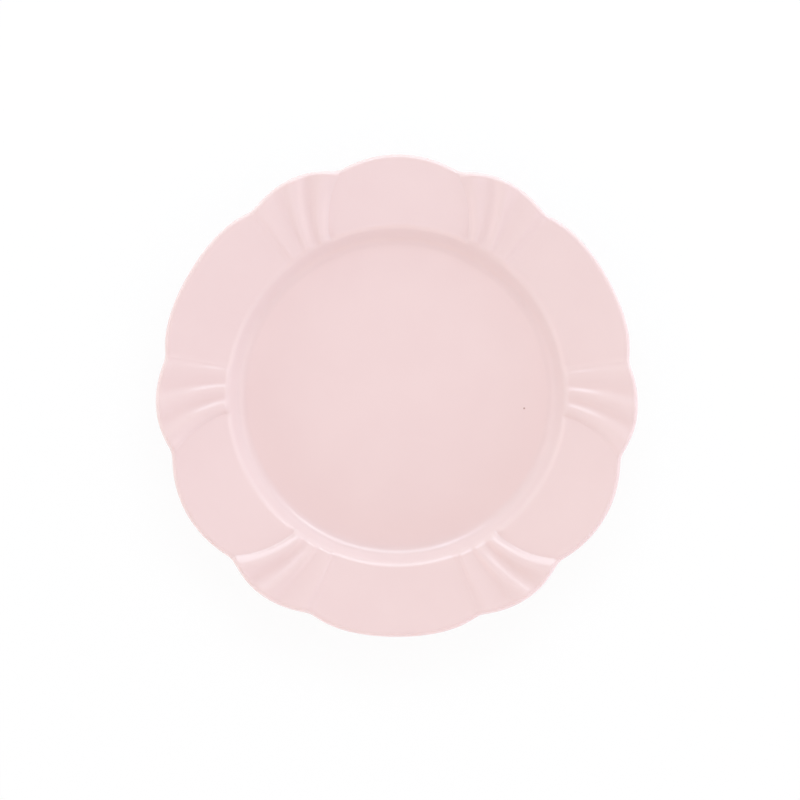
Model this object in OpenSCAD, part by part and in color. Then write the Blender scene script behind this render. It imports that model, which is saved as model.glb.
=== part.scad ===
// Scalloped dessert plate: a pressed porcelain body under a coat of pink glaze.
// The rim has twelve lobes. Between each medium lobe and each wide lobe lies a
// narrow one, which carries a fan of rounded reeds from the well to the lip.
// The origin is the middle of the plane that the foot ring rests on, with +Z up.
// A medium lobe points along +Y and a wide lobe along -Y.

/* [Outline] */
// Width from the tip of a medium lobe to the tip of the wide lobe opposite
plate_d = 205; // [190:1:225]
// How often the run of lobes repeats round the rim
repeats = 3; // [2:1:4]
// Angle that a medium lobe takes
medium_lobe_a = 30.4; // [26:0.2:34]
// Angle that a narrow, fluted lobe takes
narrow_lobe_a = 23.7; // [20:0.1:27]
// Depth of the notches beside the medium lobes, before they are rounded
deep_notch = 4.1; // [2:0.1:6]
// Depth of the notches beside the wide lobes, before they are rounded
shallow_notch = 3.1; // [1.5:0.1:5]
// How softly the notches are rounded
notch_round = 0.63; // [0.3:0.01:1.2]

/* [Well] */
// Width of the well where its floor and its wall would meet
well_d = 132.8; // [124:0.2:142]
// Depth of the well where its wall and the rim would meet
well_depth = 5.8; // [4:0.1:8]
// Slope of the well's wall
wall_slope = 47; // [35:1:58]
// Radius between the floor and the wall
well_fillet = 6.4; // [3:0.1:8]
// Radius of the verge, where the wall turns over into the rim
verge_round = 5.7; // [3:0.1:8]

/* [Rim] */
// Slope of the rim
rim_slope = 12; // [8:1:20]
// Thickness of the rim at its panels, glaze included
rim_t = 3.4; // [2.6:0.1:4.4]

/* [Flutes] */
// Reeds in the fan on each narrow lobe
reeds = 3; // [2:1:4]
// Height of the first reed's crest, beside the medium lobe, over the smooth panels
reed_h = 1.55; // [0.8:0.05:2]
// Height of the last reed's crest, beside the wide lobe, over the smooth panels
last_reed_h = 0.9; // [0.6:0.05:1.6]
// How far the grooves between the reeds stay above the smooth panels near the well
groove_h = 0.45; // [0:0.05:0.6]
// The same at the lip
lip_groove_h = 0.15; // [0:0.05:0.6]
// How far the last reed's edge stays above the wide panel
edge_h = 0.3; // [0:0.05:0.4]
// How far the groove beside the medium lobe dips where it opens into the well's wall
mouth_drop = 0.6; // [0:0.1:1.2]
// Width over which the medium panel rolls down into that groove
near_roll_w = 3; // [1:0.1:4]
// Width over which the wide panel rises to the last reed's edge
far_roll_w = 2; // [1:0.1:4]
// Angle of a fan at the verge, counted from its edge beside the wide lobe
fan_verge_a = 15.5; // [12:0.5:20]
// How late a fan spreads on its way to the lip: at 1 its edges are straight
fan_bend = 1.2; // [1:0.1:2]

/* [Underside] */
// Thickness of the floor, glaze included
floor_t = 4; // [3:0.1:5]
// Thickness of the well's wall, glaze included
wall_t = 3.8; // [3:0.1:5]
// Radius under the edge of the well, on the outside
heel_round = 9; // [5:0.5:12]
// Radius in the hollow under the verge
hollow_round = 6; // [3:0.5:9]
// Height of the foot ring
foot_h = 2.5; // [2:0.1:4]
// Width of the foot ring
foot_w = 4; // [3:0.1:6]
// Flat stretch between the heel and the foot ring
foot_inset = 3; // [1.5:0.1:6]
// Cove where the foot ring meets the underside
foot_cove = 0.8; // [0.3:0.1:1]
// Bevel on the foot ring's lower edges
foot_bevel = 0.5; // [0.2:0.1:0.8]

/* [Glaze] */
// Thickness of the glaze
glaze_t = 0.25; // [0.15:0.05:0.4]
// Height of the bare band that is wiped round the foot ring
bare_h = 0.9; // [0.6:0.1:1.2]

/* [Hidden] */
body_colour = "#F1EBE0";
glaze_colour = "#F0D6D4";
first_lobe_a = 90;
quarter_turn_a = 90;
half_turn_a = 180;
sector_a = half_turn_a / repeats;
medium_half_a = medium_lobe_a / 2;
narrow_half_a = narrow_lobe_a / 2;
fan_far_a = medium_half_a + narrow_lobe_a;
// How blunt each kind of lobe is: 2 is a plain arc, and more is flatter with tighter corners
medium_power = 1.95;
narrow_power = 1.9;
wide_power = 4.2;
// Where the crests of the first and the last reed lie across them, at the verge and at the lip
first_verge_share = 0.56;
last_verge_share = 0.74;
first_lip_share = 0.46;
last_lip_share = 0.72;
// How much of their height the crests have at the verge, and how far out they have all of it
verge_h_share = 0.75;
full_h_share = 0.4;
// Where the dip at a fan's mouth ends
mouth_share = 0.3;
// Where the stations lie across each panel and each reed, and the rings across the rim
medium_panel_shares = [0, 0.3, 0.6, 0.91];
reed_shares = [0, 0.25, 0.55, 0.8];
wide_panel_shares = [0, 0.07, 0.35, 0.6, 0.8];
rim_shares = [0.15, 0.6, 1];
back_rim_shares = [0.5];
// The most of a wall's length that the round at its foot and the one at its top may take
low_round_share = 0.6;
high_round_share = 0.35;
fillet_steps = 2;
verge_steps = 3;
lip_steps = 2;
back_steps = 2;

function mix(a, b, share) = a + (b - a) * share;
function eased(share) = share * share * (3 - 2 * share);
function reversed(list) = [for (i = [len(list) - 1 : -1 : 0]) list[i]];

// Directions in the upright half plane of [radius, height]: along a slope, and square to it
function along(slope) = [cos(slope), sin(slope)];
function above(slope) = [-sin(slope), cos(slope)];

// Where the line through p at slope a crosses the line through q at slope b
function meet(p, a, q, b) = p + along(a) * cross(q - p, along(b)) / cross(along(a), along(b));

// How far from a corner its round begins, for a turn of so many degrees
function reach(radius, turn) = radius * tan(abs(turn) / 2);
function fitted(radius, turn, room) = min(radius, room / tan(abs(turn) / 2));

// A rounded corner, going outwards: each entry is a point and the direction square to it
function bend(corner, slope_in, slope_out, radius, steps) =
    let (turn = slope_out - slope_in)
    let (side = sign(turn))
    let (start = corner - reach(radius, turn) * along(slope_in))
    let (centre = start + side * radius * above(slope_in))
    [for (i = [0 : steps])
        let (slope = slope_in + turn * i / steps)
        [centre - side * radius * above(slope), above(slope)]];

// The face in section: the floor, the wall and the rim meet in two rounded corners
floor_z = foot_h + floor_t;
wall_foot = [well_d / 2, floor_z];
wall_top = wall_foot + well_depth * [1 / tan(wall_slope), 1];
wall_turn = wall_slope - rim_slope;
wall_len = norm(wall_top - wall_foot);
floor_round = fitted(well_fillet, wall_slope, low_round_share * wall_len);
edge_round = fitted(verge_round, wall_turn, high_round_share * wall_len);
fillet_bend = bend(wall_foot, 0, wall_slope, floor_round, fillet_steps);
verge_bend = bend(wall_top, wall_slope, rim_slope, edge_round, verge_steps);
verge_r = verge_bend[verge_steps][0][0];

// The underside in section, at its own thickness below the floor, the wall and the rim
back_wall = wall_foot - wall_t * above(wall_slope);
back_rim = wall_top - rim_t * above(rim_slope);
heel = meet(back_wall, wall_slope, [0, foot_h], 0);
hollow = meet(back_wall, wall_slope, back_rim, rim_slope);
back_len = norm(hollow - heel);
heel_r = fitted(heel_round, wall_slope, low_round_share * back_len);
hollow_r = fitted(hollow_round, wall_turn, high_round_share * back_len);
heel_bend = bend(heel, 0, wall_slope, heel_r, back_steps);
hollow_bend = bend(hollow, wall_slope, rim_slope, hollow_r, back_steps);

// The foot ring
foot_out_r = heel_bend[0][0][0] - foot_inset;
foot_in_r = foot_out_r - foot_w;
cove = min(foot_cove, (foot_h - bare_h) / 2);

// A place along half a run of lobes is a zone and a share of it: the medium lobe's
// panel is zone 0, each reed is a zone of its own, and the wide lobe's panel is the last
half_places = [
    each medium_panel_shares,
    for (reed = [1 : reeds]) each [for (share = reed_shares) reed + share],
    for (share = wide_panel_shares) reeds + 1 + share,
];
wide_middle = reeds + 2;

// A station is the middle of a medium lobe, the side that it lies on, and its place
stations = [
    for (run = [0 : repeats - 1]) each [
        for (place = half_places) [run * 2 * sector_a, 1, place],
        [run * 2 * sector_a, 1, wide_middle],
        for (i = [len(half_places) - 1 : -1 : 1]) [(run + 1) * 2 * sector_a, -1, half_places[i]],
    ]
];

// The fan's edge beside the medium lobe swings out to the notch as share goes from verge to lip
function fan_near_a(share) = mix(fan_far_a - fan_verge_a, medium_half_a, pow(share, fan_bend));

// Angle from the middle of the medium lobe
function lobe_angle(place, share) =
    place < 1 ? place * fan_near_a(share)
    : place < reeds + 1 ? mix(fan_near_a(share), fan_far_a, (place - 1) / reeds)
    : mix(fan_far_a, sector_a, place - reeds - 1);

function station_angle(station, share) =
    first_lobe_a + station[0] + station[1] * lobe_angle(station[2], share);

// Depth of the outline inside the circle through the lobes' tips: the least of the three
// lobes' own depths, with the notch between two lobes rounded
function outline_depth(angle) =
    let (medium = deep_notch * pow(angle / medium_half_a, medium_power))
    let (across = (angle - medium_half_a - narrow_half_a) / narrow_half_a)
    let (notch = across < 0 ? deep_notch : shallow_notch)
    let (narrow = notch * pow(abs(across), narrow_power))
    let (wide = shallow_notch * pow((sector_a - angle) / (sector_a - fan_far_a), wide_power))
    -notch_round * ln(exp(-medium / notch_round) + exp(-narrow / notch_round) + exp(-wide / notch_round));

function outline_r(angle) = plate_d / 2 - outline_depth(angle);

// A smooth step from 0 to 1, and a step that starts at its steepest, as an arc does
function wave(share) = (1 - cos(half_turn_a * share)) / 2;
function arc(share) = share * (2 - share);

// The crests fall from the first reed to the last, and swell as they leave the verge. Each
// leans toward the wide lobe, and less so out at the lip
function from_first(reed) = (reed - 1) / (reeds - 1);
function crest_h(reed, share) =
    mix(reed_h, last_reed_h, pow(from_first(reed), 2))
    * mix(verge_h_share, 1, arc(min(1, share / full_h_share)));
function crest_share(reed, share) =
    let (at_verge = mix(first_verge_share, last_verge_share, from_first(reed)))
    let (at_lip = mix(first_lip_share, last_lip_share, pow(from_first(reed), 3)))
    mix(at_verge, at_lip, share);

// Height of the groove before each reed, and of the edge after the last one
function groove_z(reed, share) =
    reed == 1 ? -mouth_drop * pow(max(0, 1 - share / mouth_share), 2)
    : reed <= reeds ? mix(groove_h, lip_groove_h, pow(share, 2))
    : edge_h;

// Height of the reeds and grooves over the plain rim. The first reed rises as an arc from
// the medium panel's edge, and the rest is rounded in the grooves too
function relief(place, share, r) =
    let (reed = floor(place), across = place - reed)
    let (crest = crest_share(reed, share))
    let (rise = across < crest ? across / crest : (1 - across) / (1 - crest))
    let (eased_rise = reed == 1 && across < crest ? arc(rise) : wave(rise))
    let (angle = lobe_angle(place, share))
    let (off = (place < 1 ? fan_near_a(share) - angle : angle - fan_far_a) * r * PI / half_turn_a)
    let (groove = across < crest ? reed : reed + 1)
    place < 1 ? groove_z(1, share) * wave(max(0, 1 - off / near_roll_w))
    : place < reeds + 1 ? mix(groove_z(groove, share), crest_h(reed, share), eased_rise)
    : edge_h * wave(max(0, 1 - off / far_roll_w));

function spot(r, angle, z) = [r * cos(angle), r * sin(angle), z];

// Height of the plain rim's face at a radius
function rim_z(r) = wall_top[1] + (r - wall_top[0]) * tan(rim_slope);

// The lip is half a circle round a point midway through the rim
lip_r = rim_t / 2;
function lip_middle(angle) =
    let (r = outline_r(angle) - lip_r)
    [r, rim_z(r) - lip_r / cos(rim_slope)];

// Rings of points. An inset of the glaze's thickness gives the body's surface under it
function round_ring(point, outwards, inset, share, raise = 0) =
    let (p = point - inset * outwards)
    [for (station = stations)
        spot(p[0], station_angle(station, share), p[1] + raise * relief(station[2], share, p[0]))];

function rim_ring(share, inset) =
    [for (station = stations)
        let (angle = lobe_angle(station[2], share))
        let (r = mix(verge_r, (lip_middle(angle) + lip_r * above(rim_slope))[0], share))
        let (p = [r, rim_z(r) + relief(station[2], share, r)] - inset * above(rim_slope))
        spot(p[0], station_angle(station, share), p[1])];

function lip_ring(turn, inset) =
    [for (station = stations)
        let (middle = lip_middle(lobe_angle(station[2], 1)))
        let (p = middle + (lip_r - inset) * along(turn))
        let (raise = max(0, sin(turn) / cos(rim_slope)))
        spot(p[0], station_angle(station, 1), p[1] + raise * relief(station[2], 1, middle[0]))];

function back_rim_ring(share, inset) =
    [for (station = stations)
        let (edge = lip_middle(lobe_angle(station[2], 1)) - lip_r * above(rim_slope))
        let (p = mix(hollow_bend[back_steps][0], edge, share) + inset * above(rim_slope))
        spot(p[0], station_angle(station, 1), p[1])];

// Everything that the glaze covers from the edge of the floor, over the lip, to the foot ring
function glazed_rings(inset) = [
    for (entry = fillet_bend) round_ring(entry[0], entry[1], inset, 0),
    for (i = [0 : verge_steps])
        round_ring(verge_bend[i][0], verge_bend[i][1], inset, 0, eased(i / verge_steps)),
    for (share = rim_shares) rim_ring(share, inset),
    for (i = [1 : lip_steps]) lip_ring((quarter_turn_a + rim_slope) * (1 - i / lip_steps), inset),
    for (i = [1 : lip_steps]) lip_ring((rim_slope - quarter_turn_a) * i / lip_steps, inset),
    for (share = back_rim_shares) back_rim_ring(share, inset),
    for (entry = reversed(hollow_bend)) round_ring(entry[0], -entry[1], inset, 1),
    for (entry = reversed(heel_bend)) round_ring(entry[0], -entry[1], inset, 1),
    round_ring([foot_out_r + cove, foot_h], [0, -1], inset, 1),
    round_ring([foot_out_r, foot_h - cove], [1, 0], inset, 1),
    round_ring([foot_out_r, bare_h], [1, 0], inset, 1),
];

// The bare foot ring, from its outer side to its inner side
function foot_rings(inset) = [
    round_ring([foot_out_r, foot_bevel], [1, 0], inset, 1),
    round_ring([foot_out_r - foot_bevel, 0], [1, 0], inset, 1),
    round_ring([foot_in_r + foot_bevel, 0], [-1, 0], inset, 1),
    round_ring([foot_in_r, foot_bevel], [-1, 0], inset, 1),
];

// The recess inside the foot ring, from the bare band to its ceiling
function recess_rings(inset) = [
    round_ring([foot_in_r, bare_h], [-1, 0], inset, 1),
    round_ring([foot_in_r, foot_h - cove], [-1, 0], inset, 1),
    round_ring([foot_in_r - cove, foot_h], [0, -1], inset, 1),
];

// A closed skin over rings of points, from a height on the axis to another
module skin(first_z, rings, last_z) {
    count = len(stations);
    last = len(rings) * count + 1;
    function at(i, j) = 1 + i * count + j % count;
    polyhedron(
        [[0, 0, first_z], for (ring = rings) each ring, [0, 0, last_z]],
        [
            for (j = [0 : count - 1]) [0, at(0, j + 1), at(0, j)],
            for (i = [0 : len(rings) - 2], j = [0 : count - 1]) each [
                [at(i, j), at(i, j + 1), at(i + 1, j + 1)],
                [at(i, j), at(i + 1, j + 1), at(i + 1, j)],
            ],
            for (j = [0 : count - 1]) [last, at(len(rings) - 1, j), at(len(rings) - 1, j + 1)],
        ],
        convexity = 8
    );
}

// The fired porcelain, with its foot ring
module porcelain_body() {
    rings = concat(glazed_rings(glaze_t), foot_rings(glaze_t), recess_rings(glaze_t));
    color(body_colour)
        skin(floor_z - glaze_t, rings, foot_h + glaze_t);
}

// The glaze over the face, the lip and the underside, down to the bare band of the foot ring
module glaze_coat() {
    rings = concat(glazed_rings(0), reversed(glazed_rings(glaze_t)));
    color(glaze_colour)
        skin(floor_z, rings, floor_z - glaze_t);
}

// The glaze inside the foot ring
module recess_glaze() {
    rings = concat(reversed(recess_rings(glaze_t)), recess_rings(0));
    color(glaze_colour)
        skin(foot_h + glaze_t, rings, foot_h);
}

porcelain_body();
glaze_coat();
recess_glaze();
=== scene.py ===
"""A pink glazed dessert plate with a scalloped, reeded rim, seen from straight above."""
import math
from collections import namedtuple

import bmesh
import bpy
from mathutils import Matrix, Vector


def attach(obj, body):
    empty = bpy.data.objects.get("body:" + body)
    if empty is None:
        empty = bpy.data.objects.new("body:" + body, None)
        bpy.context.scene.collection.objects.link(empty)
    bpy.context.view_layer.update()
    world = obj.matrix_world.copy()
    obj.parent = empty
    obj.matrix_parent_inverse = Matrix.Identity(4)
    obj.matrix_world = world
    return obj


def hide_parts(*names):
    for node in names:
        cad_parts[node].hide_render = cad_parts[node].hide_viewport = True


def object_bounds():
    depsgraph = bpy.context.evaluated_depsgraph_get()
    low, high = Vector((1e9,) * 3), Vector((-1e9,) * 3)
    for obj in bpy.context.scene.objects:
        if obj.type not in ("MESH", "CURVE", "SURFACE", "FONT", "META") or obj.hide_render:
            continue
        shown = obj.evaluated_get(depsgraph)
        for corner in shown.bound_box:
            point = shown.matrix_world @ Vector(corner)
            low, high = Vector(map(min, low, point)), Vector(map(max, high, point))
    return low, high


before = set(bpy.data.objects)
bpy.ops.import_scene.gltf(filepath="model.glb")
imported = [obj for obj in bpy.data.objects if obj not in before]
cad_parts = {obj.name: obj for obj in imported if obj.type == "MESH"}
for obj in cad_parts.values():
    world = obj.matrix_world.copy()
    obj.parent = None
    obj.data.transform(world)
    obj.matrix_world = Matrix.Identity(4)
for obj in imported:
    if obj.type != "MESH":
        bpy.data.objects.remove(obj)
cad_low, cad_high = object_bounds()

MM = 0.001

# The outline: three medium lobes, three wide ones opposite, and six narrow ones between
PLATE_R = (cad_high.y - cad_low.y) / 2
RUNS = 3
SECTOR = 60.0
MEDIUM_HALF = 15.2
NARROW_HALF = 11.85
FAN_FAR = MEDIUM_HALF + 2 * NARROW_HALF
DEEP_NOTCH = 4.1 * MM
SHALLOW_NOTCH = 3.1 * MM
NOTCH_ROUND = 0.63 * MM
MEDIUM_POWER = 1.95
NARROW_POWER = 1.9
WIDE_POWER = 4.2
FIRST_LOBE = 90.0

# The well and the rim
WELL_R = 66.4 * MM
WELL_DEPTH = 5.8 * MM
WALL_SLOPE = 47.0
WELL_FILLET = 6.4 * MM
VERGE_ROUND = 5.7 * MM
RIM_SLOPE = 12.0
RIM_T = 3.4 * MM
LIP_R = RIM_T / 2

# The fans of reeds, lower from the medium lobe to the wide one
REEDS = 3
REED_H = 1.55 * MM
LAST_REED_H = 0.9 * MM
GROOVE_H = 0.45 * MM
LIP_GROOVE_H = 0.15 * MM
EDGE_H = 0.3 * MM
MOUTH_DROP = 0.6 * MM
MOUTH_SHARE = 0.3
NEAR_ROLL_W = 3.0 * MM
FAR_ROLL_W = 2.0 * MM
FAN_VERGE = 15.5
FAN_BEND = 1.2
# How far across the first and the last reed its crest lies, at the verge and at the lip
FIRST_CREST = (0.56, 0.46)
LAST_CREST = (0.74, 0.72)
# How much of their height the crests have at the verge, and how far out they have all of it
VERGE_H_SHARE = 0.75
FULL_H_SHARE = 0.4

# The underside
FLOOR_T = 4.0 * MM
WALL_T = 3.8 * MM
HEEL_ROUND = 9.0 * MM
HOLLOW_ROUND = 6.0 * MM
FOOT_H = 2.5 * MM
FOOT_W = 4.0 * MM
FOOT_INSET = 3.0 * MM
FOOT_COVE = 0.8 * MM
FOOT_BEVEL = 0.5 * MM
BARE_H = 0.9 * MM
GLAZE_T = 0.25 * MM

# Steps round half a run of lobes: over the medium panel, over each reed, over the wide panel
MEDIUM_STEPS = 14
REED_STEPS = 14
WIDE_STEPS = 20
HALF_STEPS = MEDIUM_STEPS + REEDS * REED_STEPS + WIDE_STEPS
STATIONS = 2 * RUNS * HALF_STEPS

# A point of the section: its radius and height, the direction that its surface faces, how
# far across the rim it lies, how much of the reeds' height it carries, how far the fan has
# spread there, and how much glaze has run there: 1 is the most and -1 the least
Spot = namedtuple("Spot", "point faces share lift fan pool", defaults=[0])

# How much glaze the rounds of the section gather, or lose where they stand out
FILLET_POOL = 0.1
VERGE_POOL = -0.4
LIP_POOL = -0.8
HOLLOW_POOL = 0.6
HEEL_POOL = -0.4
COVE_POOL = 0.8
REED_POOL = 0.15

# Steps along the rounds of the section, and along the straight stretches that join them
FILLET_STEPS = 10
WALL_STEPS = 4
VERGE_STEPS = 12
HOLLOW_STEPS = 6
BACK_WALL_STEPS = 3
HEEL_STEPS = 8
BACK_FLOOR_STEPS = 2
COVE_STEPS = 4
BEAD_STEPS = 5
TOE_STEPS = 4
# Rings of the well's floor and of the recess's ceiling, as shares of their radius
FLOOR_RINGS = (0, 0.35, 0.7, 0.92)
CEILING_RINGS = (0.9, 0.6, 0.3, 0)
# Steps across the rim's face, round the lip and across the rim's back: on the glaze, and under it
GLAZE_STEPS = (30, 14, 8)
UNDER_STEPS = (12, 8, 4)
# Points closer together than this become one
WELD = 0.001 * MM


def mix(a, b, share):
    return a + (b - a) * share


def eased(share):
    return share * share * (3 - 2 * share)


def along(slope):
    return Vector((math.cos(math.radians(slope)), math.sin(math.radians(slope))))


def above(slope):
    return Vector((-math.sin(math.radians(slope)), math.cos(math.radians(slope))))


def cross(a, b):
    return a.x * b.y - a.y * b.x


def meet(p, a, q, b):
    """Where the line through p at slope a crosses the line through q at slope b."""
    return p + along(a) * cross(q - p, along(b)) / cross(along(a), along(b))


def bend(corner, slope_in, slope_out, radius, steps):
    """A rounded corner of the section, going outwards: its points and the way up from each."""
    turn = slope_out - slope_in
    side = math.copysign(1, turn)
    start = corner - along(slope_in) * radius * math.tan(math.radians(abs(turn) / 2))
    centre = start + side * radius * above(slope_in)
    slopes = [slope_in + turn * i / steps for i in range(steps + 1)]
    return [(centre - side * radius * above(s), above(s)) for s in slopes]


def between(a, b, steps):
    """The points inside a straight stretch of the section, without its two ends."""
    return [(mix(a[0], b[0], i / steps), b[1]) for i in range(1, steps)]


def plain(pairs, fan=0):
    return [Spot(point, faces, 0, 0, fan) for point, faces in pairs]


def turned_over(pairs):
    return [(point, -up) for point, up in reversed(pairs)]


def pooled(spots, peak):
    """The same round with more or less glaze on it, most so at its middle."""
    last = len(spots) - 1
    return [spot._replace(pool=peak * math.sin(math.pi * i / last)) for i, spot in enumerate(spots)]


# The section of the face
FLOOR_Z = FOOT_H + FLOOR_T
WALL_FOOT = Vector((WELL_R, FLOOR_Z))
WALL_TOP = WALL_FOOT + along(WALL_SLOPE) * WELL_DEPTH / math.sin(math.radians(WALL_SLOPE))
FILLET = bend(WALL_FOOT, 0, WALL_SLOPE, WELL_FILLET, FILLET_STEPS)
VERGE = bend(WALL_TOP, WALL_SLOPE, RIM_SLOPE, VERGE_ROUND, VERGE_STEPS)
CROWN_MIDDLE_R = PLATE_R - LIP_R

# The section of the underside
BACK_WALL = WALL_FOOT - WALL_T * above(WALL_SLOPE)
BACK_RIM = WALL_TOP - RIM_T * above(RIM_SLOPE)
HEEL_CORNER = meet(BACK_WALL, WALL_SLOPE, Vector((0, FOOT_H)), 0)
HEEL = bend(HEEL_CORNER, 0, WALL_SLOPE, HEEL_ROUND, HEEL_STEPS)
HOLLOW_CORNER = meet(BACK_WALL, WALL_SLOPE, BACK_RIM, RIM_SLOPE)
HOLLOW = bend(HOLLOW_CORNER, WALL_SLOPE, RIM_SLOPE, HOLLOW_ROUND, HOLLOW_STEPS)
FOOT_OUT_R = HEEL[0][0].x - FOOT_INSET
FOOT_IN_R = FOOT_OUT_R - FOOT_W

DOWN = Vector((0, -1))
OUT = Vector((1, 0))


def crown_middle():
    """The point that the lip is rounded about, at a lobe's tip."""
    z = WALL_TOP.y + (CROWN_MIDDLE_R - WALL_TOP.x) * math.tan(math.radians(RIM_SLOPE))
    return Vector((CROWN_MIDDLE_R, z - LIP_R / math.cos(math.radians(RIM_SLOPE))))


def cove(r, side):
    """The hollow round where the underside meets the foot ring's wall, from the flat on."""
    middle = Vector((r + side * FOOT_COVE, FOOT_H - FOOT_COVE))
    spots = []
    for i in range(COVE_STEPS + 1):
        turn = math.radians(90 * i / COVE_STEPS)
        facing = Vector((side * math.sin(turn), -math.cos(turn)))
        spots.append((middle - FOOT_COVE * facing, facing))
    return spots


def bead(r, side):
    """The glaze's rounded edge on the foot ring's wall, from its face in to the porcelain."""
    middle = Vector((r - side * GLAZE_T / 2, BARE_H + GLAZE_T / 2))
    turns = [math.pi * i / BEAD_STEPS for i in range(1, BEAD_STEPS)]
    faces = [Vector((side * math.cos(turn), -math.sin(turn))) for turn in turns]
    return plain([(middle + GLAZE_T / 2 * facing, facing) for facing in faces], 1)


def toe(r, side):
    """The foot ring's rounded lower edge, from its wall to the flat that it stands on."""
    turns = [math.radians(90 * i / TOE_STEPS) for i in range(TOE_STEPS + 1)]
    rounds = [(1 - math.cos(turn), 1 - math.sin(turn)) for turn in turns]
    return [(Vector((r - side * FOOT_BEVEL * x, FOOT_BEVEL * z)), side * OUT) for x, z in rounds]


def face_spots(rim_steps):
    """The face from the axis to the start of the lip."""
    floor_end = FILLET[0][0].x
    floor = [(Vector((floor_end * share, FLOOR_Z)), above(0)) for share in FLOOR_RINGS]
    wall = between(FILLET[-1], VERGE[0], WALL_STEPS)
    spots = plain(floor) + pooled(plain(FILLET), FILLET_POOL) + plain(wall)
    lifts = [eased(i / (len(VERGE) - 1)) for i in range(len(VERGE))]
    verge = [Spot(point, up, 0, lift, 0) for (point, up), lift in zip(VERGE, lifts)]
    spots += pooled(verge, VERGE_POOL)
    lip_start = crown_middle() + LIP_R * above(RIM_SLOPE)
    for i in range(1, rim_steps + 1):
        share = i / rim_steps
        spots.append(Spot(mix(VERGE[-1][0], lip_start, share), above(RIM_SLOPE), share, 1, share))
    return spots


def lip_spots(steps):
    """Round the lip from the face to the underside, without its first point."""
    spots = []
    for i in range(1, steps + 1):
        turn = 90 + RIM_SLOPE - 180 * i / steps
        facing = along(turn)
        lift = max(0, facing.y / math.cos(math.radians(RIM_SLOPE)))
        spots.append(Spot(crown_middle() + LIP_R * facing, facing, 1, lift, 1))
    return pooled(spots, LIP_POOL)


def back_spots(rim_steps):
    """The underside from the lip to the glaze's edge on the foot ring."""
    lip_end = crown_middle() - LIP_R * above(RIM_SLOPE)
    spots = []
    for i in range(1, rim_steps):
        share = 1 - i / rim_steps
        spots.append(Spot(mix(HOLLOW[-1][0], lip_end, share), -above(RIM_SLOPE), share, 0, 1))
    outer = cove(FOOT_OUT_R, 1)
    hollow = turned_over(HOLLOW)
    heel = turned_over(HEEL)
    wall = between(hollow[-1], heel[0], BACK_WALL_STEPS)
    flat = between(heel[-1], outer[0], BACK_FLOOR_STEPS)
    edge = (Vector((FOOT_OUT_R, BARE_H + GLAZE_T / 2)), OUT)
    spots += pooled(plain(hollow, 1), HOLLOW_POOL) + plain(wall, 1)
    spots += pooled(plain(heel, 1), HEEL_POOL) + plain(flat, 1)
    return spots + pooled(plain(outer, 1), COVE_POOL) + plain([edge], 1)


def foot_spots():
    """The bare band of the foot ring, from its outer side to its inner side."""
    return plain(toe(FOOT_OUT_R, 1) + list(reversed(toe(FOOT_IN_R, -1))), 1)


def recess_spots():
    """The recess inside the foot ring, from the glaze's edge to the axis."""
    edge = (Vector((FOOT_IN_R, BARE_H + GLAZE_T / 2)), -OUT)
    inner = list(reversed(cove(FOOT_IN_R, -1)))
    flat_r = inner[-1][0].x
    ceiling = [(Vector((flat_r * share, FOOT_H)), DOWN) for share in CEILING_RINGS]
    return plain([edge], 1) + pooled(plain(inner, 1), COVE_POOL) + plain(ceiling, 1)


def outer_spots(steps):
    """The face, the lip and the underside, as far as the glaze's edge on the foot ring."""
    rim, lip, back = steps
    return face_spots(rim) + lip_spots(lip) + back_spots(back)


def sunk(spots, depth):
    """The same stretch of section, so far under the surface. A spot on the axis stays there."""
    out = []
    for spot in spots:
        point = spot.point - depth * spot.faces
        if spot.point.x == 0:
            point.x = 0
        out.append(spot._replace(point=point))
    return out


def place_at(step):
    """A place along half a run: the medium panel is zone 0, then each reed, then the wide panel."""
    if step <= MEDIUM_STEPS:
        return math.sin(math.radians(90 * step / MEDIUM_STEPS))
    step -= MEDIUM_STEPS
    if step <= REEDS * REED_STEPS:
        return 1 + step / REED_STEPS
    step -= REEDS * REED_STEPS
    return REEDS + 2 - math.cos(math.radians(90 * step / WIDE_STEPS))


def fan_near(fan):
    return mix(FAN_FAR - FAN_VERGE, MEDIUM_HALF, fan ** FAN_BEND)


def lobe_angle(place, fan):
    """Degrees from the middle of the medium lobe."""
    if place < 1:
        return place * fan_near(fan)
    if place < REEDS + 1:
        return mix(fan_near(fan), FAN_FAR, (place - 1) / REEDS)
    return mix(FAN_FAR, SECTOR, place - REEDS - 1)


def outline_depth(angle):
    """How far the lip lies inside the circle through the lobes' tips."""
    across = (angle - MEDIUM_HALF - NARROW_HALF) / NARROW_HALF
    notch = DEEP_NOTCH if across < 0 else SHALLOW_NOTCH
    depths = (
        DEEP_NOTCH * (angle / MEDIUM_HALF) ** MEDIUM_POWER,
        notch * abs(across) ** NARROW_POWER,
        SHALLOW_NOTCH * ((SECTOR - angle) / (SECTOR - FAN_FAR)) ** WIDE_POWER,
    )
    return -NOTCH_ROUND * math.log(sum(math.exp(-depth / NOTCH_ROUND) for depth in depths))


def wave(share):
    return (1 - math.cos(math.pi * share)) / 2


def arc(share):
    return share * (2 - share)


def from_first(reed):
    return (reed - 1) / (REEDS - 1)


def crest_across(reed, fan):
    """How far across a reed its crest lies: it leans to the wide lobe, and less so at the lip."""
    at_verge = mix(FIRST_CREST[0], LAST_CREST[0], from_first(reed))
    at_lip = mix(FIRST_CREST[1], LAST_CREST[1], from_first(reed) ** 3)
    return mix(at_verge, at_lip, fan)


def crest_height(reed, fan):
    """The crests fall from the first reed to the last, and swell as they leave the verge."""
    full = mix(REED_H, LAST_REED_H, from_first(reed) ** 2)
    return full * mix(VERGE_H_SHARE, 1, arc(min(1, fan / FULL_H_SHARE)))


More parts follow.
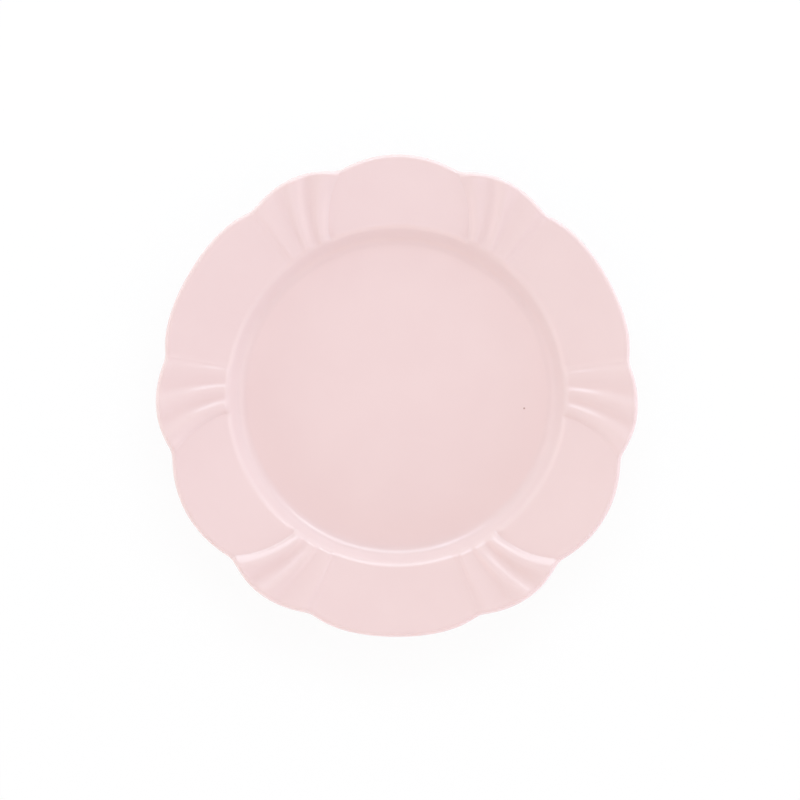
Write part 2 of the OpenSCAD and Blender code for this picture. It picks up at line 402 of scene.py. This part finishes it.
def groove_height(reed, fan):
    """Height of the groove before a reed, and of the edge after the last one."""
    if reed == 1:
        return -MOUTH_DROP * max(0, 1 - fan / MOUTH_SHARE) ** 2
    return mix(GROOVE_H, LIP_GROOVE_H, fan ** 2) if reed <= REEDS else EDGE_H


def relief(place, fan, r):
    """Height over the plain rim, and how much glaze has run there off the crests."""
    if 1 <= place <= REEDS + 1:
        reed = min(int(place), REEDS)
        across = place - reed
        crest = crest_across(reed, fan)
        near = across < crest
        rise = across / crest if near else (1 - across) / (1 - crest)
        rise = arc(rise) if near and reed == 1 else wave(rise)
        groove = groove_height(reed if near else reed + 1, fan)
        return mix(groove, crest_height(reed, fan), rise), 1 - 2 * rise
    if place < 1:
        off = fan_near(fan) - lobe_angle(place, fan)
        width, edge = NEAR_ROLL_W, groove_height(1, fan)
    else:
        off = lobe_angle(place, fan) - FAN_FAR
        width, edge = FAR_ROLL_W, EDGE_H
    roll = wave(max(0, 1 - math.radians(off) * r / width))
    return edge * roll, roll


def turn_plate(name, spots):
    """Spins a closed section round the axis, then draws in its lobes and raises its reeds."""
    bm = bmesh.new()
    number = bm.verts.layers.int.new("spot")
    pool = bm.verts.layers.float.new("pooled")
    chain = []
    for i, spot in enumerate(spots):
        vert = bm.verts.new((spot.point.x, 0, spot.point.y))
        vert[number] = i
        chain.append(vert)
    edges = [bm.edges.new(pair) for pair in zip(chain, chain[1:])]
    if spots[0].point.x > 0:
        edges.append(bm.edges.new((chain[-1], chain[0])))
    bmesh.ops.spin(
        bm, geom=chain + edges, cent=(0, 0, 0), axis=(0, 0, 1), dvec=(0, 0, 0),
        angle=math.tau, steps=STATIONS, use_merge=True, use_normal_flip=False, use_duplicate=False,
    )
    for vert in bm.verts:
        spot = spots[vert[number]]
        r = spot.point.x
        step = round(math.atan2(vert.co.y, vert.co.x) % math.tau / math.tau * STATIONS) % STATIONS
        run, step = divmod(step, 2 * HALF_STEPS)
        side = 1
        if step > HALF_STEPS:
            run, step, side = run + 1, 2 * HALF_STEPS - step, -1
        place = place_at(step)
        angle = lobe_angle(place, spot.fan)
        drawn_in = spot.share * outline_depth(angle)
        raised, run_down = relief(place, spot.fan, r) if spot.lift else (0, 0)
        z = spot.point.y - drawn_in * math.tan(math.radians(RIM_SLOPE)) + spot.lift * raised
        vert[pool] = spot.pool + spot.lift * run_down * REED_POOL
        turn = math.radians(FIRST_LOBE + 2 * SECTOR * run + side * angle)
        vert.co = ((r - drawn_in) * math.cos(turn), (r - drawn_in) * math.sin(turn), z)
    bmesh.ops.remove_doubles(bm, verts=bm.verts, dist=WELD)
    bmesh.ops.recalc_face_normals(bm, faces=bm.faces)
    for face in bm.faces:
        face.smooth = True
    mesh = bpy.data.meshes.new(name)
    bm.to_mesh(mesh)
    bm.free()
    piece = bpy.data.objects.new(name, mesh)
    bpy.context.scene.collection.objects.link(piece)
    return piece


# The glaze: its colour where it is thinnest and thickest, the sizes of what shows in it, and how
# rough its gloss is at its clearest and at its haziest
THIN_GLAZE = "#EFD6D3"
DEEP_GLAZE = "#E7CBC9"
GLAZE_CLOUD = 22 * MM
GLAZE_RIPPLE = 11 * MM
RIPPLE_H = 0.012 * MM
GLAZE_HAZE = 7 * MM
PINHOLE_GAP = 9 * MM
PINHOLE_R = 0.25 * MM
PINHOLE_DEPTH = 0.02 * MM
GLAZE_ROUGHNESS = (0.08, 0.12)
GLAZE_IOR = 1.5
# Clouds and gathered glaze added together, where the glaze is thinnest and thickest
POOL_SPAN = (-0.5, 1.5)
# The values that a noise mostly keeps between
NOISE_SPAN = (0.3, 0.7)
# One speck of iron has fired through it, to the right of the well's middle
IRON_SPECK = "#B8908B"
SPECK_AT = (54.25 * MM, -4.9 * MM, FLOOR_Z)
SPECK_R = 0.55 * MM
SPECK_CORE_R = 0.25 * MM

# The bare porcelain: its two colours, its grain, drawn a little coarse so that it shows, and the
# warm line that the kiln fires along the glaze's edge
GREY_PORCELAIN = "#EAE2D6"
PALE_PORCELAIN = "#F3EEE6"
PORCELAIN_GRAIN = 0.5 * MM
GRAIN_H = 0.01 * MM
PORCELAIN_ROUGHNESS = (0.5, 0.65)
PORCELAIN_IOR = 1.54
FIRED_LINE = "#DCC4A8"
FIRED_LINE_W = 0.3 * MM
FIRED_LINE_SHARE = 0.7

# Sockets of the node that mixes two colours, by number because their names are shared
FACTOR, COLOUR_A, COLOUR_B = 0, 6, 7
MIXED = 2


def linear(hex_colour):
    """An sRGB hex colour as the linear colour that shaders take."""
    parts = [int(hex_colour[i:i + 2], 16) / 255 for i in (1, 3, 5)]
    return [p / 12.92 if p <= 0.04045 else ((p + 0.055) / 1.055) ** 2.4 for p in parts] + [1]


def add(tree, kind, links=None, values=None, **settings):
    """Adds a node with its settings, its constant values and its links, and returns it."""
    node = tree.nodes.new(kind)
    for name, value in settings.items():
        setattr(node, name, value)
    for socket, value in (values or {}).items():
        node.inputs[socket].default_value = value
    for socket, source in (links or {}).items():
        tree.links.new(source, node.inputs[socket])
    return node


def new_material(name):
    material = bpy.data.materials.new(name)
    material.use_nodes = True
    material.node_tree.nodes.clear()
    return material, material.node_tree


def pink_glaze():
    """Opaque pink glaze, dipped and fired glossy over porcelain.

    It is a coloured glass a quarter of a millimetre thick. It runs off the crests, the verge
    and the lip while it melts, so they come out paler, and it gathers in the grooves and
    rounds, which come out deeper. Its colour is a little cloudy. It sets in low, wide
    ripples, so reflections are clear but their edges wander, and it keeps a few pinholes.
    """
    material, tree = new_material("pink_glaze_dipped_and_fired_glossy")
    place = add(tree, "ShaderNodeTexCoord").outputs["Object"]
    pool = add(tree, "ShaderNodeAttribute", attribute_name="pooled").outputs["Fac"]
    cloud = add(
        tree, "ShaderNodeTexNoise", {"Vector": place}, {"Scale": 1 / GLAZE_CLOUD, "Detail": 3.0},
    )
    depth = add(tree, "ShaderNodeMath", {0: cloud.outputs["Fac"], 1: pool}, operation="ADD")
    depth = add(
        tree, "ShaderNodeMapRange", {"Value": depth.outputs[0]},
        {"From Min": POOL_SPAN[0], "From Max": POOL_SPAN[1]},
    )
    colour = add(
        tree, "ShaderNodeMix", {FACTOR: depth.outputs[0]},
        {COLOUR_A: linear(THIN_GLAZE), COLOUR_B: linear(DEEP_GLAZE)}, data_type="RGBA",
    )
    away = add(tree, "ShaderNodeVectorMath", {0: place}, {1: SPECK_AT}, operation="DISTANCE")
    speck = add(
        tree, "ShaderNodeMapRange", {"Value": away.outputs["Value"]},
        {"From Min": SPECK_CORE_R, "From Max": SPECK_R, "To Min": 1.0, "To Max": 0.0},
    )
    colour = add(
        tree, "ShaderNodeMix", {FACTOR: speck.outputs[0], COLOUR_A: colour.outputs[MIXED]},
        {COLOUR_B: linear(IRON_SPECK)}, data_type="RGBA",
    )

    ripple = add(
        tree, "ShaderNodeTexNoise", {"Vector": place}, {"Scale": 1 / GLAZE_RIPPLE, "Detail": 1.0},
    )
    waves = add(
        tree, "ShaderNodeBump", {"Height": ripple.outputs["Fac"]},
        {"Strength": 1.0, "Distance": RIPPLE_H},
    )
    cells = add(tree, "ShaderNodeTexVoronoi", {"Vector": place}, {"Scale": 1 / PINHOLE_GAP})
    holes = add(
        tree, "ShaderNodeMapRange", {"Value": cells.outputs["Distance"]},
        {"From Max": PINHOLE_R / PINHOLE_GAP},
    )
    pits = add(
        tree, "ShaderNodeBump", {"Height": holes.outputs[0], "Normal": waves.outputs[0]},
        {"Strength": 1.0, "Distance": PINHOLE_DEPTH},
    )
    haze = add(
        tree, "ShaderNodeTexNoise", {"Vector": place}, {"Scale": 1 / GLAZE_HAZE, "Detail": 2.0},
    )
    rough = add(
        tree, "ShaderNodeMapRange", {"Value": haze.outputs["Fac"]},
        {
            "From Min": NOISE_SPAN[0], "From Max": NOISE_SPAN[1],
            "To Min": GLAZE_ROUGHNESS[0], "To Max": GLAZE_ROUGHNESS[1],
        },
    )
    shader = add(
        tree, "ShaderNodeBsdfPrincipled",
        {
            "Base Color": colour.outputs[MIXED],
            "Roughness": rough.outputs[0],
            "Normal": pits.outputs[0],
        },
        {"IOR": GLAZE_IOR},
    )
    add(tree, "ShaderNodeOutputMaterial", {"Surface": shader.outputs["BSDF"]})
    return material


def bare_porcelain():
    """Hard porcelain, fired and then ground smooth where the glaze was wiped off the foot ring.

    It is a dense stone with no glaze on it, so it is off-white and matt with a fine tooth,
    and the kiln leaves it a little warmer in a line along the glaze's edge.
    """
    material, tree = new_material("bare_porcelain_fired_and_ground")
    place = add(tree, "ShaderNodeTexCoord").outputs["Object"]
    height = add(tree, "ShaderNodeSeparateXYZ", {"Vector": place}).outputs["Z"]
    grain = add(
        tree, "ShaderNodeTexNoise", {"Vector": place},
        {"Scale": 1 / PORCELAIN_GRAIN, "Detail": 4.0, "Roughness": 0.6},
    )
    colour = add(
        tree, "ShaderNodeMix", {FACTOR: grain.outputs["Fac"]},
        {COLOUR_A: linear(GREY_PORCELAIN), COLOUR_B: linear(PALE_PORCELAIN)}, data_type="RGBA",
    )
    flash = add(
        tree, "ShaderNodeMapRange", {"Value": height},
        {"From Min": BARE_H - FIRED_LINE_W, "From Max": BARE_H, "To Max": FIRED_LINE_SHARE},
    )
    colour = add(
        tree, "ShaderNodeMix", {FACTOR: flash.outputs[0], COLOUR_A: colour.outputs[MIXED]},
        {COLOUR_B: linear(FIRED_LINE)}, data_type="RGBA",
    )
    tooth = add(
        tree, "ShaderNodeBump", {"Height": grain.outputs["Fac"]},
        {"Strength": 1.0, "Distance": GRAIN_H},
    )
    rough = add(
        tree, "ShaderNodeMapRange", {"Value": grain.outputs["Fac"]},
        {
            "From Min": NOISE_SPAN[0], "From Max": NOISE_SPAN[1],
            "To Min": PORCELAIN_ROUGHNESS[0], "To Max": PORCELAIN_ROUGHNESS[1],
        },
    )
    shader = add(
        tree, "ShaderNodeBsdfPrincipled",
        {
            "Base Color": colour.outputs[MIXED],
            "Roughness": rough.outputs[0],
            "Normal": tooth.outputs[0],
        },
        {"IOR": PORCELAIN_IOR},
    )
    add(tree, "ShaderNodeOutputMaterial", {"Surface": shader.outputs["BSDF"]})
    return material


def finish_piece(piece, node, material):
    piece.data.materials.append(material)
    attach(piece, "root")
    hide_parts(node)


def build_plate():
    glaze = pink_glaze()
    under = sunk(outer_spots(UNDER_STEPS), GLAZE_T)
    coat = outer_spots(GLAZE_STEPS) + bead(FOOT_OUT_R, 1) + under[::-1]
    finish_piece(turn_plate("glaze_over_plate", coat), "glaze_coat", glaze)
    ceiling = sunk(recess_spots(), GLAZE_T)
    recess = recess_spots() + ceiling[::-1] + bead(FOOT_IN_R, -1)[::-1]
    finish_piece(turn_plate("glaze_in_recess", recess), "recess_glaze", glaze)
    body = turn_plate("porcelain", under + sunk(foot_spots(), GLAZE_T) + ceiling)
    finish_piece(body, "porcelain_body", bare_porcelain())


# The photograph's frame: the plate's middle and turn in it, and the size of a pixel at the lip
FRAME_PX = 800
MIDDLE_PX = Vector((396.94, 395.58))
PIXEL = 2 * PLATE_R / 483.1
ROLL = 0.56
CAMERA_HEIGHT = 3.0
SENSOR = 36.0


def place_camera():
    data = bpy.data.cameras.new("camera")
    camera = bpy.data.objects.new("camera", data)
    bpy.context.scene.collection.objects.link(camera)
    bpy.context.scene.camera = camera
    data.sensor_width = SENSOR
    data.lens = SENSOR * CAMERA_HEIGHT / (FRAME_PX * PIXEL)
    off = Vector((FRAME_PX / 2 - MIDDLE_PX.x, MIDDLE_PX.y - FRAME_PX / 2)) * PIXEL
    turn = Matrix.Rotation(math.radians(ROLL), 3, "Z")
    at = turn @ Vector((off.x, off.y, 0))
    lip_z = crown_middle().y + LIP_R
    camera.location = (at.x, at.y, lip_z + CAMERA_HEIGHT)
    camera.rotation_euler = (0, 0, math.radians(ROLL))


# Each lamp: its brightness, where 1 is white paper, its colour, the azimuth and elevation that
# it stands at, its distance, and its width and height
SOFTBOXES = (
    ("key", 2.75, "#DAF3FF", 82, 39, 1.2, 1.12, 0.51),
    ("key_right", 1.27, "#F0F8FF", 48, 39, 1.2, 0.34, 0.51),
    ("key_left", 1.65, "#DAE0FF", 116, 39, 1.2, 0.34, 0.51),
    ("left", 0.95, "#FFC8C8", 180, 40, 1.2, 0.87, 0.53),
    ("right", 0.87, "#FFEEE2", 0, 40, 1.2, 0.87, 0.53),
    ("front_high", 0.36, "#E5E5FF", 270, 62, 1.2, 0.87, 0.53),
    ("front", 0.75, "#FFB080", 270, 35, 1.2, 1.68, 0.53),
    ("overhead", 0.45, "#FFE8E8", 90, 88.9, 1.5, 0.16, 0.13),
)
# Low lamps light the wall of the well and the flanks of the reeds. The glaze doesn't mirror
# them, so a look from the side keeps its colour.
LOW_LAMPS = (
    ("low_back", 2.0, "#E0FCF4", 90, 9, 1.2, 1.68, 0.25),
    ("low_left", 3.0, "#CCFCF8", 180, 9, 1.2, 1.39, 0.25),
    ("low_right", 3.6, "#C8E0FF", 0, 9, 1.2, 1.39, 0.25),
    ("low_front", 3.4, "#B0E8FF", 270, 9, 1.2, 1.68, 0.25),
)
# How brightly the white room lights from above and from its sides, and how quickly it changes
ROOM_ABOVE = 0.546
ROOM_SIDES = 0.836
ROOM_POWER = 3.0
WHITE = "#FFFFFF"


def softbox(name, level, colour, azimuth, elevation, distance, width, height):
    """A soft lamp that looks at the plate's middle."""
    data = bpy.data.lights.new(name, "AREA")
    data.shape = "RECTANGLE"
    data.size = width
    data.size_y = height
    data.energy = level * math.pi * width * height
    data.color = linear(colour)[:3]
    lamp = bpy.data.objects.new(name, data)
    bpy.context.scene.collection.objects.link(lamp)
    a, e = math.radians(azimuth), math.radians(elevation)
    away = Vector((math.cos(a) * math.cos(e), math.sin(a) * math.cos(e), math.sin(e)))
    lamp.location = away * distance
    lamp.rotation_euler = away.to_track_quat("Z", "Y").to_euler()
    lamp.visible_camera = False
    return lamp


def seen_ray(tree):
    """1 where the camera looks, straight or by way of gloss or glass, and 0 for other light."""
    path = add(tree, "ShaderNodeLightPath")
    rays = {0: path.outputs["Is Camera Ray"], 1: path.outputs["Is Glossy Ray"]}
    seen = add(tree, "ShaderNodeMath", rays, operation="MAXIMUM")
    rays = {0: seen.outputs[0], 1: path.outputs["Is Transmission Ray"]}
    return add(tree, "ShaderNodeMath", rays, operation="MAXIMUM").outputs[0]


def light_scene():
    """A white room that lights from its sides more than from above, with softboxes round it."""
    world = bpy.data.worlds.new("studio")
    bpy.context.scene.world = world
    world.use_nodes = True
    tree = world.node_tree
    tree.nodes.clear()
    way = add(tree, "ShaderNodeTexCoord").outputs["Generated"]
    rise = add(tree, "ShaderNodeSeparateXYZ", {"Vector": way}).outputs["Z"]
    steep = add(tree, "ShaderNodeMath", {0: rise, 1: rise}, operation="MULTIPLY")
    flat = add(tree, "ShaderNodeMath", {1: steep.outputs[0]}, {0: 1.0}, operation="SUBTRACT")
    side = add(
        tree, "ShaderNodeMath", {0: flat.outputs[0]}, {1: ROOM_POWER}, operation="POWER",
    )
    room = add(
        tree, "ShaderNodeMapRange", {"Value": side.outputs[0]},
        {"To Min": ROOM_ABOVE, "To Max": ROOM_SIDES},
    )
    level = add(
        tree, "ShaderNodeMapRange", {"Value": seen_ray(tree), "To Min": room.outputs[0]},
        {"To Max": 1.0},
    )
    light = add(
        tree, "ShaderNodeBackground", {"Strength": level.outputs[0]}, {"Color": linear(WHITE)},
    )
    add(tree, "ShaderNodeOutputWorld", {"Surface": light.outputs[0]})
    for box in SOFTBOXES:
        softbox(*box)
    for box in LOW_LAMPS:
        softbox(*box).visible_glossy = False


# How much of the floor's white is its own: the rest shows the plate's faint shadow
FLOOR_WHITE = 0.91
FLOOR_HALF_W = 2.0
PAPER = "#FAFAFA"


def lay_floor():
    bm = bmesh.new()
    bmesh.ops.create_grid(bm, x_segments=1, y_segments=1, size=FLOOR_HALF_W)
    mesh = bpy.data.meshes.new("floor")
    bm.to_mesh(mesh)
    bm.free()
    floor = bpy.data.objects.new("floor", mesh)
    bpy.context.scene.collection.objects.link(floor)
    material, tree = new_material("white_studio_paper_floor")
    paper = add(tree, "ShaderNodeBsdfDiffuse", values={"Color": linear(PAPER)})
    glow = add(tree, "ShaderNodeEmission", values={"Color": linear(WHITE), "Strength": 1.0})
    share = add(tree, "ShaderNodeMapRange", {"Value": seen_ray(tree)}, {"To Max": FLOOR_WHITE})
    shader = add(
        tree, "ShaderNodeMixShader", {0: share.outputs[0], 1: paper.outputs[0], 2: glow.outputs[0]},
    )
    add(tree, "ShaderNodeOutputMaterial", {"Surface": shader.outputs[0]})
    mesh.materials.append(material)


bpy.context.scene.view_settings.view_transform = "Standard"
place_camera()
light_scene()
lay_floor()
build_plate()
